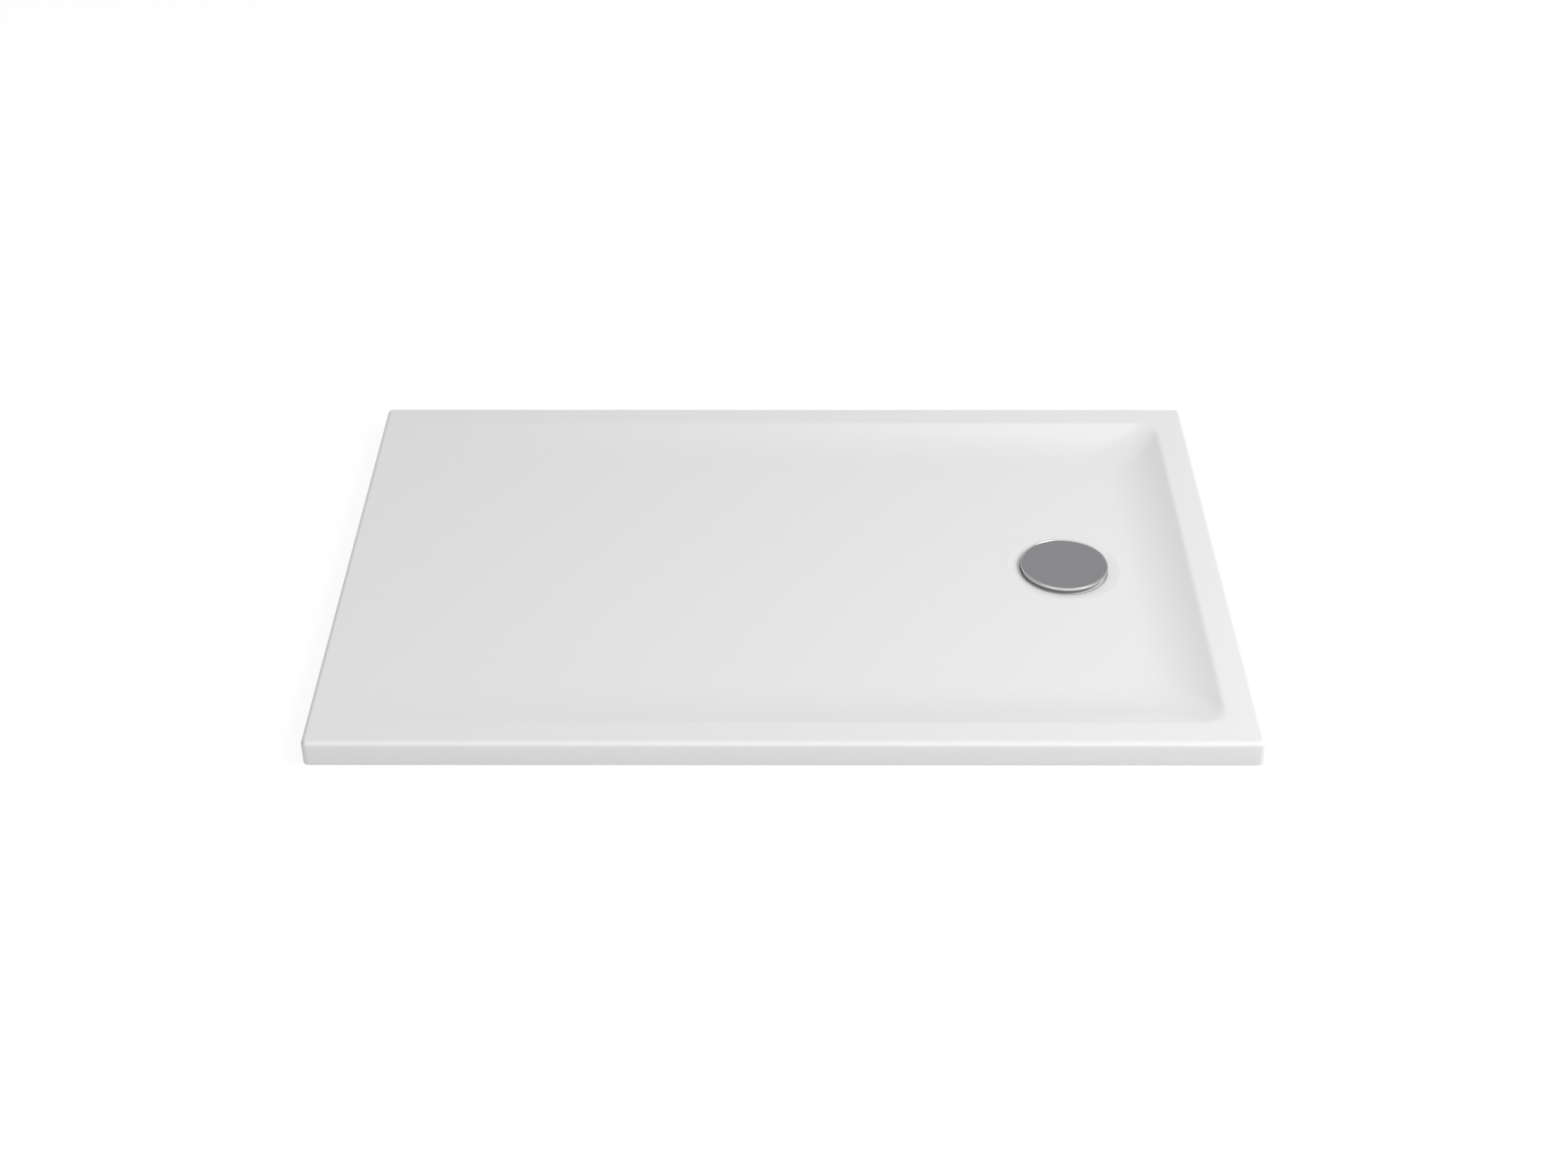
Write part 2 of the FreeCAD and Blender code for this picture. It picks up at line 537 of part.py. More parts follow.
# ================================================================ waste, moving pieces
def make_outlet_pipe():
    """Hollow ball and 40 mm spigot."""
    cut_radius = math.sqrt(BALL_RADIUS ** 2 - BALL_CUT_BACK ** 2)
    neck = math.sqrt(BALL_RADIUS ** 2 - PIPE_RADIUS ** 2)
    hollow_radius = BALL_RADIUS - BALL_WALL
    hollow = math.sqrt(hollow_radius ** 2 - PIPE_BORE ** 2)
    return outlet_turned([
        (-BALL_CUT_BACK, PIPE_BORE),
        (-BALL_CUT_BACK, cut_radius),
        (0, BALL_RADIUS, "arc"),
        (neck, PIPE_RADIUS),
        (SPIGOT_REACH - SPIGOT_CHAMFER, PIPE_RADIUS),
        (SPIGOT_REACH, PIPE_RADIUS - SPIGOT_CHAMFER),
        (SPIGOT_REACH, PIPE_BORE),
        (hollow, PIPE_BORE),
        (0, hollow_radius, "arc"),
        (-hollow, PIPE_BORE),
    ])


def make_siphon_insert():
    """Insert with its rim on the flange, a grooved neck in the mouth, and a dip tube down into the cup."""
    neck_end = FLANGE_FLOOR_Z - INSERT_NECK
    cone_end = neck_end - INSERT_CONE
    groove_half = O_RING_CORD + GROOVE_PLAY
    tube_bore = DIP_TUBE_RADIUS - INSERT_WALL
    return upright([
        (INSERT_RIM_TOP_Z, INSERT_BORE),
        (INSERT_RIM_TOP_Z, MOUTH_RADIUS + INSERT_RIM_LAP),
        (FLANGE_FLOOR_Z, MOUTH_RADIUS + INSERT_RIM_LAP),
        (FLANGE_FLOOR_Z, INSERT_NECK_RADIUS),
        (O_RING_Z + groove_half, INSERT_NECK_RADIUS),
        (O_RING_Z + groove_half, GROOVE_RADIUS),
        (O_RING_Z - groove_half, GROOVE_RADIUS),
        (O_RING_Z - groove_half, INSERT_NECK_RADIUS),
        (neck_end, INSERT_NECK_RADIUS),
        (cone_end, DIP_TUBE_RADIUS),
        (DIP_TUBE_END_Z, DIP_TUBE_RADIUS),
        (DIP_TUBE_END_Z, tube_bore),
        (cone_end, tube_bore),
        (neck_end, INSERT_BORE),
    ])


def make_insert_o_ring():
    """O-ring in the neck's groove."""
    return Part.makeTorus(O_RING_CIRCLE_RADIUS, O_RING_CORD, V(DRAIN_X, 0, O_RING_Z), V(0, 0, 1))


def make_hair_sieve():
    """Sieve cup with a knob, hung by its rim on the insert's rim."""
    rim_top = INSERT_RIM_TOP_Z + SIEVE_RIM
    top_radius = INSERT_BORE - SIEVE_PLAY
    low_radius = top_radius - SIEVE_TAPER
    low = INSERT_RIM_TOP_Z - SIEVE_DEPTH
    knob_top = rim_top + SIEVE_KNOB_HEIGHT
    sieve = upright([
        (low, 0),
        (low, low_radius),
        (INSERT_RIM_TOP_Z, top_radius),
        (INSERT_RIM_TOP_Z, INSERT_BORE + SIEVE_RIM_LAP),
        (rim_top, INSERT_BORE + SIEVE_RIM_LAP),
        (rim_top, top_radius - SIEVE_WALL),
        (low + SIEVE_WALL, low_radius - SIEVE_WALL),
        (low + SIEVE_WALL, SIEVE_KNOB_RADIUS / 2),
        (knob_top - SIEVE_KNOB_RADIUS / 2, SIEVE_KNOB_RADIUS / 2),
        (knob_top - SIEVE_KNOB_RADIUS / 2, SIEVE_KNOB_RADIUS),
        (knob_top, SIEVE_KNOB_RADIUS),
        (knob_top, 0),
    ])
    slot_start = DRAIN_X + SIEVE_KNOB_RADIUS / 2 + SIEVE_SLOT_FROM_KNOB
    slot_end = DRAIN_X + low_radius - SIEVE_WALL - SIEVE_SLOT_FROM_WALL
    slot = box(slot_start, slot_end, -SIEVE_SLOT_WIDTH / 2, SIEVE_SLOT_WIDTH / 2, low, low + SIEVE_WALL)
    return sieve.cut(around(slot, SIEVE_SLOT_COUNT, 0.0))


def make_cover_cap():
    """Pressed metal cap: a level disc with a rounded, turned-down edge."""
    low = COVER_UNDER_Z
    top = COVER_TOP_Z
    bend = COVER_EDGE_ROUND * (1 - math.sqrt(0.5))
    return upright([
        (top - COVER_SHEET, 0),
        (top - COVER_SHEET, COVER_RADIUS - COVER_SHEET),
        (low, COVER_RADIUS - COVER_SHEET),
        (low, COVER_RADIUS),
        (top - COVER_EDGE_ROUND, COVER_RADIUS),
        (top - bend, COVER_RADIUS - bend, "arc"),
        (top, COVER_RADIUS - COVER_EDGE_ROUND),
        (top, 0),
    ])


def make_cover_carrier():
    """Plastic disc inside the cap, with ribs and a hub ring below, six feet and three centring legs."""
    rib = box(DRAIN_X + HUB_RADIUS - HUB_WALL, DRAIN_X + RIB_END_RADIUS, -RIB_WIDTH / 2, RIB_WIDTH / 2,
              RIB_UNDER_Z, COVER_UNDER_Z)
    foot = rod(FOOT_RADIUS, FLANGE_TOP_Z, COVER_UNDER_Z, DRAIN_X + FOOT_CIRCLE_RADIUS)
    leg_outer = SLEEVE_INNER - LEG_PLAY
    leg_low = FLANGE_FLOOR_Z + LEG_END_GAP
    leg = ring(leg_outer - LEG_THICKNESS, leg_outer, leg_low, COVER_UNDER_Z)
    leg = leg.common(box(DRAIN_X, DRAIN_X + leg_outer, -LEG_WIDTH / 2, LEG_WIDTH / 2, leg_low, COVER_UNDER_Z))
    disc = rod(COVER_RADIUS - COVER_SHEET - CARRIER_PLAY, COVER_UNDER_Z, CARRIER_TOP_Z)
    hub = ring(HUB_RADIUS - HUB_WALL, HUB_RADIUS, RIB_UNDER_Z, COVER_UNDER_Z)
    below = [hub] + around(rib, RIB_COUNT, RIB_FIRST) + around(foot, RIB_COUNT, RIB_FIRST)
    return disc.fuse(below + around(leg, RIB_COUNT // 2, RIB_FIRST))


# ================================================================ everything, written out
def make_all():
    """Every node of the tray and its waste, by name."""
    core = tray_filling(WALL)
    nodes = {"tray_shell": make_tray_shell(), "laminate_backing": make_laminate_backing()}
    nodes.update(make_battens(core))
    nodes["foam_core"] = make_foam_core(core)
    nodes["base_board"] = make_base_board()
    nodes["upper_seal"] = ring(SEAL_INNER, SEAL_OUTER, RECESS_Z, FLANGE_SEAT_Z)
    nodes["waste_flange"] = make_waste_flange()
    nodes["flange_screws"] = make_flange_screws()
    nodes["insert_nuts"] = make_insert_nuts()
    nodes["lower_gasket"] = ring(SEAL_INNER, SEAL_OUTER, TRAP_PLATE_TOP, CLAMP_Z)
    nodes["trap_body"] = make_trap_body()
    nodes["trap_cup"] = make_trap_cup()
    nodes["outlet_socket"] = make_outlet_socket()
    nodes["ball_seal"] = make_ball_seal()
    nodes["union_nut"] = make_union_nut()
    nodes["outlet_pipe"] = make_outlet_pipe()
    nodes["siphon_insert"] = make_siphon_insert()
    nodes["insert_o_ring"] = make_insert_o_ring()
    nodes["hair_sieve"] = make_hair_sieve()
    nodes["cover_cap"] = make_cover_cap()
    nodes["cover_carrier"] = make_cover_carrier()
    return nodes


os.makedirs("parts", exist_ok=True)
for node_name, node_shape in make_all().items():
    save(node_name, node_shape)
    print(node_name, len(node_shape.Solids), "solid(s),", round(node_shape.Volume / 1000.0, 2), "cm3")
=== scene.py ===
"""Looks of a flat acrylic shower tray and of its 90 mm waste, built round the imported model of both.

The tray is one basin of thermoformed sanitary acrylic, with a rim on three sides and a rimless entry. Its
skin is worked out here as one closed surface, and the waste's cap as a profile carried round its axis.
Lengths are in metres, except where a class says millimetres.
"""
import logging
import math
from dataclasses import dataclass
from enum import Enum
from typing import Any, Optional, Sequence

import bpy
import numpy as np
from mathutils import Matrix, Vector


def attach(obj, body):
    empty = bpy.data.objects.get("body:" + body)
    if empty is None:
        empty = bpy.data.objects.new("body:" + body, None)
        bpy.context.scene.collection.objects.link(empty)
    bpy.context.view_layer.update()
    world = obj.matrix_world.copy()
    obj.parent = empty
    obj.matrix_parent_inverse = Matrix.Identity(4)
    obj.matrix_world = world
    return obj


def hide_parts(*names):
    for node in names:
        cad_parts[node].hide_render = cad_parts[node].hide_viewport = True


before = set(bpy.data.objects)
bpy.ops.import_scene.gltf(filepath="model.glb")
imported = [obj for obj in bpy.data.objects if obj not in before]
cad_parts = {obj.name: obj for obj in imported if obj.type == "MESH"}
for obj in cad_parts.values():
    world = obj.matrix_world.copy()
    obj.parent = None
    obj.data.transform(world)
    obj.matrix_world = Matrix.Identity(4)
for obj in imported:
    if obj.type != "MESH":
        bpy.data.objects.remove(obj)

LOG = logging.getLogger("shower_tray")
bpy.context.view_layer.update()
MM = 0.001
POLE_SPAN = 1e-9                # a row of points narrower than this is one point
MIX_A, MIX_B, MIX_RESULT = 6, 7, 2      # a Mix node's colour sockets, by number
Array = np.ndarray
Pair = tuple[float, float]
Triple = tuple[float, float, float]


# ---------------------------------------------------------------- colour and shader helpers
def linear(hex_colour: str) -> tuple[float, float, float, float]:
    """Turns an sRGB hex colour to linear light.

    Args:
        hex_colour: Six hex digits, such as "F1F1EF".

    Returns:
        Red, green, blue and an alpha of 1.
    """
    channels = [int(hex_colour[i:i + 2], 16) / 255.0 for i in (0, 2, 4)]
    lit = [c / 12.92 if c <= 0.04045 else ((c + 0.055) / 1.055) ** 2.4 for c in channels]
    return lit[0], lit[1], lit[2], 1.0


def add_node(tree: bpy.types.NodeTree, kind: str, settings: Optional[dict[str, Any]] = None,
             **sockets: Any) -> bpy.types.Node:
    """Adds one shader node, sets its properties and fills or links its inputs.

    Args:
        tree: The node tree.
        kind: The node's type name, such as "ShaderNodeTexNoise".
        settings: Properties of the node itself.
        **sockets: Input values by name, with "_" for a space, or as i0, i1 and so on by number. An output
            socket is linked instead.

    Returns:
        The node.
    """
    node = tree.nodes.new(kind)
    for name, value in (settings or {}).items():
        setattr(node, name, value)
    for name, value in sockets.items():
        key = int(name[1:]) if name[1:].isdigit() and name[0] == "i" else name.replace("_", " ")
        if isinstance(value, bpy.types.NodeSocket):
            tree.links.new(value, node.inputs[key])
        else:
            node.inputs[key].default_value = value
    return node


def new_material(name: str) -> tuple[bpy.types.Material, bpy.types.NodeTree, bpy.types.Node]:
    """Makes an empty node material.

    Args:
        name: The material's name.

    Returns:
        The material, its tree and its Principled BSDF, already linked to the output.
    """
    material = bpy.data.materials.new(name)
    material.use_nodes = True
    tree = material.node_tree
    tree.nodes.clear()
    shader = add_node(tree, "ShaderNodeBsdfPrincipled")
    add_node(tree, "ShaderNodeOutputMaterial", Surface=shader.outputs["BSDF"])
    return material, tree, shader


def show_instead(tree: bpy.types.NodeTree, surface: bpy.types.NodeSocket) -> None:
    """Links another surface to a material's output, in place of its Principled BSDF."""
    output = next(node for node in tree.nodes if node.type == "OUTPUT_MATERIAL")
    tree.links.new(surface, output.inputs["Surface"])


def looked_at(tree: bpy.types.NodeTree) -> bpy.types.NodeSocket:
    """Tells rays that show a surround, straight, in gloss or through glass, from those that gather its light.

    Args:
        tree: The node tree.

    Returns:
        A socket that is 1 for the first kind and 0 for the second.
    """
    rays = add_node(tree, "ShaderNodeLightPath")
    shown = rays.outputs["Is Camera Ray"]
    for kind in ("Is Glossy Ray", "Is Transmission Ray"):
        shown = add_node(tree, "ShaderNodeMath", {"operation": "MAXIMUM"}, i0=shown,
                         i1=rays.outputs[kind]).outputs[0]
    return shown


# ---------------------------------------------------------------- finishes
@dataclass(frozen=True)
class Mottled:
    """A moulded or formed surface whose colour, gloss and relief vary a little.

    Attributes:
        name: What the real material is.
        colour: sRGB hex colour.
        deep: sRGB hex colour of its darker spots.
        roughness: Mean roughness.
        spread: Half the range of the roughness.
        grain_mm: Size of the pattern's spots.
        relief_mm: Height of the relief.
        ior: Index of refraction.
        metallic: 1 for a bare metal.
        stretch: Scales of the pattern along X, Y and Z, for brushed, sawn or rolled surfaces.
        detail: Octaves of the pattern.
    """

    name: str
    colour: str
    deep: str
    roughness: float
    spread: float = 0.03
    grain_mm: float = 2.0
    relief_mm: float = 0.01
    ior: float = 1.5
    metallic: float = 0.0
    stretch: Triple = (1.0, 1.0, 1.0)
    detail: float = 2.0

    def build(self) -> bpy.types.Material:
        """Makes the material from a noise on Object coordinates."""
        material, tree, shader = new_material(self.name)
        place = add_node(tree, "ShaderNodeTexCoord").outputs["Object"]
        spot = add_node(tree, "ShaderNodeMapping", Vector=place, Scale=self.stretch).outputs["Vector"]
        noise = add_node(tree, "ShaderNodeTexNoise", Vector=spot, Scale=1.0 / (self.grain_mm * MM),
                         Detail=self.detail).outputs["Fac"]
        tone = add_node(tree, "ShaderNodeMix", {"data_type": "RGBA"}, Factor=noise)
        tone.inputs[MIX_A].default_value = linear(self.deep)
        tone.inputs[MIX_B].default_value = linear(self.colour)
        tree.links.new(tone.outputs[MIX_RESULT], shader.inputs["Base Color"])
        gloss = add_node(tree, "ShaderNodeMapRange", Value=noise, To_Min=self.roughness - self.spread,
                         To_Max=self.roughness + self.spread)
        tree.links.new(gloss.outputs["Result"], shader.inputs["Roughness"])
        bump = add_node(tree, "ShaderNodeBump", Height=noise, Distance=self.relief_mm * MM, Strength=1.0)
        tree.links.new(bump.outputs["Normal"], shader.inputs["Normal"])
        shader.inputs["Metallic"].default_value = self.metallic
        if not self.metallic:
            shader.inputs["IOR"].default_value = self.ior
        return material


class Finish(Enum):
    """The real finishes on the tray and its waste, by the record's material slot."""

    # Cast sanitary acrylic, vacuum formed: high gloss with a long, very shallow ripple.
    ACRYLIC = ("acrylic", Mottled("Sanitary acrylic, thermoformed", "EFEFEF", "EEEEEE", roughness=0.22,
                                  spread=0.02, grain_mm=14.0, relief_mm=0.003, ior=1.49))
    # Chopped strand mat in polyester resin, rolled on by hand: milky, with a coarse fibre print.
    LAMINATE = ("laminate", Mottled("Glass-fibre laminate, hand laid", "D3CFB4", "A9A482", roughness=0.45,
                                    spread=0.12, grain_mm=3.0, relief_mm=0.25, ior=1.54,
                                    stretch=(1.0, 0.35, 1.0), detail=6.0))
    # Planed spruce: pale, with darker late wood drawn out along the batten.
    TIMBER = ("timber", Mottled("Spruce, planed", "C9A672", "9C7442", roughness=0.6, spread=0.08,
                                grain_mm=3.0, relief_mm=0.05, stretch=(0.06, 1.0, 1.0), detail=4.0))
    # Closed-cell polyurethane foam, poured: dull cream with fine cells.
    FOAM = ("foam", Mottled("Polyurethane foam, poured", "E6D9AC", "CDBD8A", roughness=0.9, spread=0.05,
                            grain_mm=0.9, relief_mm=0.2, detail=3.0))
    # Moisture-proof particle board: brown flakes under a sealed face.
    BOARD = ("board", Mottled("Particle board, sealed", "A98A5F", "7B6040", roughness=0.55, spread=0.1,
                              grain_mm=4.0, relief_mm=0.08, detail=5.0))
    # Moulded EPDM rubber: black, faintly bloomed.
    RUBBER = ("rubber", Mottled("EPDM rubber, moulded", "26272A", "1C1D1F", roughness=0.6, spread=0.1,
                                grain_mm=1.5, relief_mm=0.02, ior=1.52))
    # Moulded ABS in mid grey, with the mould's fine spark finish.
    GREY_PLASTIC = ("grey_plastic", Mottled("ABS, moulded grey", "868A8D", "7F8386", roughness=0.38,
                                            spread=0.05, grain_mm=0.6, relief_mm=0.01, ior=1.54))
    # Moulded polypropylene in drain white: waxy, half matt.
    WHITE_PLASTIC = ("white_plastic", Mottled("Polypropylene, moulded white", "E7E7E3", "DDDDD8",
                                              roughness=0.42, spread=0.06, grain_mm=0.8, relief_mm=0.015,
                                              ior=1.49))
    # Cold-headed stainless steel, tumbled.
    STAINLESS = ("stainless", Mottled("Stainless steel, tumbled", "C8C7C4", "B4B3B0", roughness=0.28,
                                      spread=0.05, grain_mm=0.8, relief_mm=0.004, metallic=1.0))
    # Turned brass: fine rings of the tool round the nut.
    BRASS = ("brass", Mottled("Brass, turned", "D9B45F", "C29A47", roughness=0.25, spread=0.06, grain_mm=0.5,
                              relief_mm=0.004, metallic=1.0, stretch=(0.2, 0.2, 1.0)))
    # Chromium plate on a pressed cap: near mirror, slightly dulled by use.
    COVER_METAL = ("cover_metal", Mottled("Chromium plate, bright", "C9CACC", "C6C7C9", roughness=0.16,
                                          spread=0.02, grain_mm=6.0, relief_mm=0.0015, metallic=1.0))

    def __init__(self, slot: str, look: Mottled) -> None:
        """Keeps the slot's name and the look."""
        self.slot = slot
        self.look = look


class Paints:
    """Builds each finish once and hands it to the pieces."""

    def __init__(self) -> None:
        """Starts with nothing built."""
        self.built: dict[Finish, bpy.types.Material] = {}

    def dress(self, piece: bpy.types.Object, finish: Finish) -> None:
        """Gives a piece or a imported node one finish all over.

        Args:
            piece: The mesh object.
            finish: The finish.
        """
        if finish not in self.built:
            self.built[finish] = finish.look.build()
        piece.data.materials.clear()
        piece.data.materials.append(self.built[finish])

    def dress_nodes(self, nodes: Sequence[str], finish: Finish) -> None:
        """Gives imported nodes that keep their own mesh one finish.

        Args:
            nodes: Names of the nodes.
            finish: The finish.
        """
        for name in nodes:
            self.dress(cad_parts[name], finish)
            LOG.info("node %s: %s", name, finish.look.name)


# ---------------------------------------------------------------- surfaces
def grid_piece(name: str, grid: Array, loops: bool = True) -> bpy.types.Object:
    """Makes a mesh piece from a grid of points that closes on itself along its columns.

    Row i and column j meet row i + 1 and column j + 1 in one face, and the last column meets the first. A row
    whose points all coincide becomes one vertex, so the faces there are triangles that close a pole.

    Args:
        name: The piece's name.
        grid: Points in an array of rows by columns by 3.
        loops: Whether the last row meets the first as well, as on a ring.

    Returns:
        The new object, linked to the scene.
    """
    rows, columns = grid.shape[:2]
    index = np.arange(rows * columns).reshape(rows, columns)
    pole = np.ptp(grid, axis=1).max(axis=1) < POLE_SPAN
    index[pole] = index[pole][:, :1]
    used, index = np.unique(index, return_inverse=True)
    index = index.reshape(rows, columns)
    last = np.roll(index, -1, axis=0) if loops else index[1:]
    first = index if loops else index[:-1]
    quads = np.stack([first, np.roll(first, -1, 1), np.roll(last, -1, 1), last], axis=-1).reshape(-1, 4)
    keep = np.ones_like(quads, bool)
    keep[:, 1] = quads[:, 0] != quads[:, 1]
    keep[:, 3] = quads[:, 3] != quads[:, 2]
    real = keep.sum(axis=1) > 2
    quads, keep = quads[real], keep[real]
    counts = keep.sum(axis=1)
    mesh = bpy.data.meshes.new(name)
    mesh.vertices.add(len(used))
    mesh.vertices.foreach_set("co", grid.reshape(-1, 3)[used].ravel())
    mesh.loops.add(int(counts.sum()))
    mesh.loops.foreach_set("vertex_index", quads[keep])
    mesh.polygons.add(len(counts))
    mesh.polygons.foreach_set("loop_start", np.concatenate([[0], np.cumsum(counts)[:-1]]))
    mesh.polygons.foreach_set("use_smooth", np.ones(len(counts), bool))
    mesh.update(calc_edges=True)
    mesh.validate()
    piece = bpy.data.objects.new(name, mesh)
    bpy.context.scene.collection.objects.link(piece)
    return piece


@dataclass(frozen=True)
class Turned:
    """A profile that turns about the drain's upright axis.

    Attributes:
        name: The piece's name.
        points: Corners as (radius, height), in millimetres, in order round the section.
        rounds: How far each corner's rounding reaches along its sides, in millimetres.
        segments: Faces round the axis.
    """

    name: str
    points: tuple[Pair, ...]
    rounds: float
    segments: int

    def section(self, steps: int = 4, rest_mm: float = 0.12, side_share: float = 0.45,
                rest_share: float = 0.1) -> Array:
        """The profile with each corner rounded off.

        A corner's arc is the quadratic curve from one side to the other with the corner as its control
        point, and a point a little past each end of it keeps the flat sides shaded flat.

        Args:
            steps: Faces in each rounding.
            rest_mm: How far past an arc's ends the extra points lie.
            side_share: The most of a side's length that one rounding takes.
            rest_share: The most of that reach that lies between an arc's end and its extra point.

        Returns:
            Points as rows of (radius, height), in millimetres.
        """
        spots = np.array(self.points, float)
        found = []
        for i, corner in enumerate(spots):
            before, after = spots[i - 1] - corner, spots[(i + 1) % len(spots)] - corner
            if corner[0] == 0.0:
                found.append(corner[None])
                continue
            sides = [before / np.linalg.norm(before), after / np.linalg.norm(after)]
            room = min(np.linalg.norm(before), np.linalg.norm(after)) * side_share
            reach = min(self.rounds, room)
            start, end = corner + sides[0] * reach, corner + sides[1] * reach
            t = np.linspace(0.0, 1.0, steps + 1)[:, None]
            arc = (1 - t) ** 2 * start + 2 * t * (1 - t) * corner + t ** 2 * end
            rest = min(rest_mm, room * rest_share)
            found.append(np.vstack([start + sides[0] * rest, arc, end + sides[1] * rest]))
        return np.vstack(found)

    def build(self, centre: Pair) -> bpy.types.Object:
        """Turns the section about the upright axis at the centre.

        Args:
            centre: The axis's X and Y, in metres.

        Returns:
            The piece.
        """
        section = self.section() * MM
        turn = np.linspace(0.0, 2 * math.pi, self.segments, endpoint=False)
        radius, height = section[:, :1], section[:, 1:]
        grid = np.stack([centre[0] + radius * np.cos(turn), centre[1] + radius * np.sin(turn),
                         np.broadcast_to(height, (len(section), len(turn)))], axis=-1)
        return grid_piece(self.name, grid, loops=bool(section[0, 0] > 0.0))


# ---------------------------------------------------------------- the tray
@dataclass
class TrayShell:
    """Acrylic skin of the tray: apron, level rim on three sides, hollow cove, falling floor and drain dish.

    Lengths are in millimetres in the shared frame, with the drain end at +X.

    Attributes:
        half_length: Half the length along X.
        half_width: Half the width along Y.
        height: Height of the rim.
        corner: Radius of the four upright corners.
        edge: Radius between apron and rim.
        skin: Thickness of the acrylic.
        rim: Width of the level rim, from the outside to the rim line.
        rim_round: The rim rolls into the cove over this much on either side of the rim line.
        cove: Width of the hollow slope between rim and floor.
        least_cove: The least that is left of it where the entry cuts it short.
        basin_corner: Plan radius of the basin's corners at the rim line.
        foot_corner: Plan radius of the same corners at the foot of the cove.
        fall: Fall of the floor per millimetre.
        fall_start: X at which it starts.
        drain_x: X of the drain's axis.
        dish_radius: Radius at which the dish round the drain starts.
        dish_foot: Radius at which it ends.
        dish_depth: How far it goes down on the way.
        dish_soft: Width over which its brink is softened.
        recess_radius: Radius of the flange's recess.
        recess_z: Height of the recess's floor.
        hole_radius: Radius of the waste hole.
        hole_break: Bevel at the hole's edge.
        flat_run: A row this far past the edge's round keeps the level rim shaded flat.
        apron_run: The same for the upright apron.
        dish_margin: The falling floor's rows end this far outside the dish.
        under_margin: On the underside, the dish's brink lies this much further out.
        apron_foot: Inset and height of each row of the apron's softened foot.
        dish_rings: Radius of each row in the dish, crowded where it bends.
        recess_rings: For each row of the recess's wall, how far outside the radius it lies and its share of
            the way up.
        edge_rows: Rows in the round between apron and rim.
        round_rows: Rows in the round between rim and cove.
        cove_rows: Rows from there to the foot of the cove.
        floor_rows: Rows from there to the dish.
        side_points: Points along the drain end, the back, the entry and the front.
        corner_points: Points in each upright corner.
        body: The body that the skin rides on.
    """

    half_length: float = 600.0
    half_width: float = 400.0
    height: float = 35.0
    corner: float = 8.0
    edge: float = 6.5
    skin: float = 4.5
    rim: float = 43.0
    rim_round: float = 4.0
    cove: float = 85.0
    least_cove: float = 40.0
    basin_corner: float = 30.0
    foot_corner: float = 62.0
    fall: float = 0.0153
    fall_start: float = -592.8
    drain_x: float = 387.0
    dish_radius: float = 77.0
    dish_foot: float = 60.0
    dish_depth: float = 2.1
    dish_soft: float = 0.8
    recess_radius: float = 58.5
    recess_z: float = 13.81
    hole_radius: float = 45.0
    hole_break: float = 0.5
    flat_run: float = 0.4
    apron_run: float = 0.6
    dish_margin: float = 6.0
    under_margin: float = 1.0
    apron_foot: tuple[Pair, ...] = ((0.5, 0.0), (0.15, 0.15), (0.0, 0.5))
    dish_rings: tuple[float, ...] = (80.0, 78.4, 77.6, 77.0, 76.4, 75.6, 74.0, 70.0, 66.0, 62.5, 61.0, 60.2)
    recess_rings: tuple[Pair, ...] = ((0.9, 0.62), (0.4, 0.4), (0.0, 0.12), (0.0, 0.02), (-0.5, 0.0))
    edge_rows: int = 11
    round_rows: int = 7
    cove_rows: int = 13
    floor_rows: int = 9
    side_points: tuple[int, int, int, int] = (104, 132, 84, 132)
    corner_points: int = 8
    body: str = "tray"

    def outline(self) -> tuple[Array, Array]:
        """Points round the tray's outside with their outward normals.

        Each side's points crowd towards its ends, half evenly and half as a cosine, and each upright corner
        is a quarter circle.

        Returns:
            Points and unit normals, each in rows of (x, y), anticlockwise from the drain end's front corner.
        """
        flats = (self.half_length - self.corner, self.half_width - self.corner)
        points, normals = [], []
        for k, count in enumerate(self.side_points):
            normal = np.array([math.cos(k * math.pi / 2), math.sin(k * math.pi / 2)])
            along = np.array([-normal[1], normal[0]])
            reach, half = (self.half_length, flats[1]) if k % 2 == 0 else (self.half_width, flats[0])
            u = np.linspace(0.0, 1.0, count)
            spread = half * (0.5 * (2 * u - 1) - 0.5 * np.cos(math.pi * u))
            points.append(normal * reach + spread[:, None] * along)
            normals.append(np.broadcast_to(normal, (count, 2)))
            turn = (np.arange(1, self.corner_points + 1) / (self.corner_points + 1) + k) * math.pi / 2
            arc = np.stack([np.cos(turn), np.sin(turn)], axis=-1)
            points.append(normal * (reach - self.corner) + along * half + arc * self.corner)
            normals.append(arc)
        return np.vstack(points), np.vstack(normals)

    def contour_distance(self, spot: Array, inset: Array | float) -> Array:
        """Signed distance from spots to the basin's contour at an inset from the rim line.

        The contour is a rectangle whose two corners at the drain end are round. Their radius grows from the
        rim line to the foot of the cove.

        Args:
            spot: Points as (..., 2).
            inset: Inset of the contour for each.

        Returns:
            Distances, negative inside.
        """
        turn = self.basin_corner + (self.foot_corner - self.basin_corner) * np.maximum(inset, 0.0) / self.cove
        over_x = spot[..., 0] - (self.half_length - self.rim - inset - turn)
        over_y = np.abs(spot[..., 1]) - (self.half_width - self.rim - inset - turn)
        outside = np.hypot(np.maximum(over_x, 0.0), np.maximum(over_y, 0.0))
        return outside + np.minimum(np.maximum(over_x, over_y), 0.0) - turn

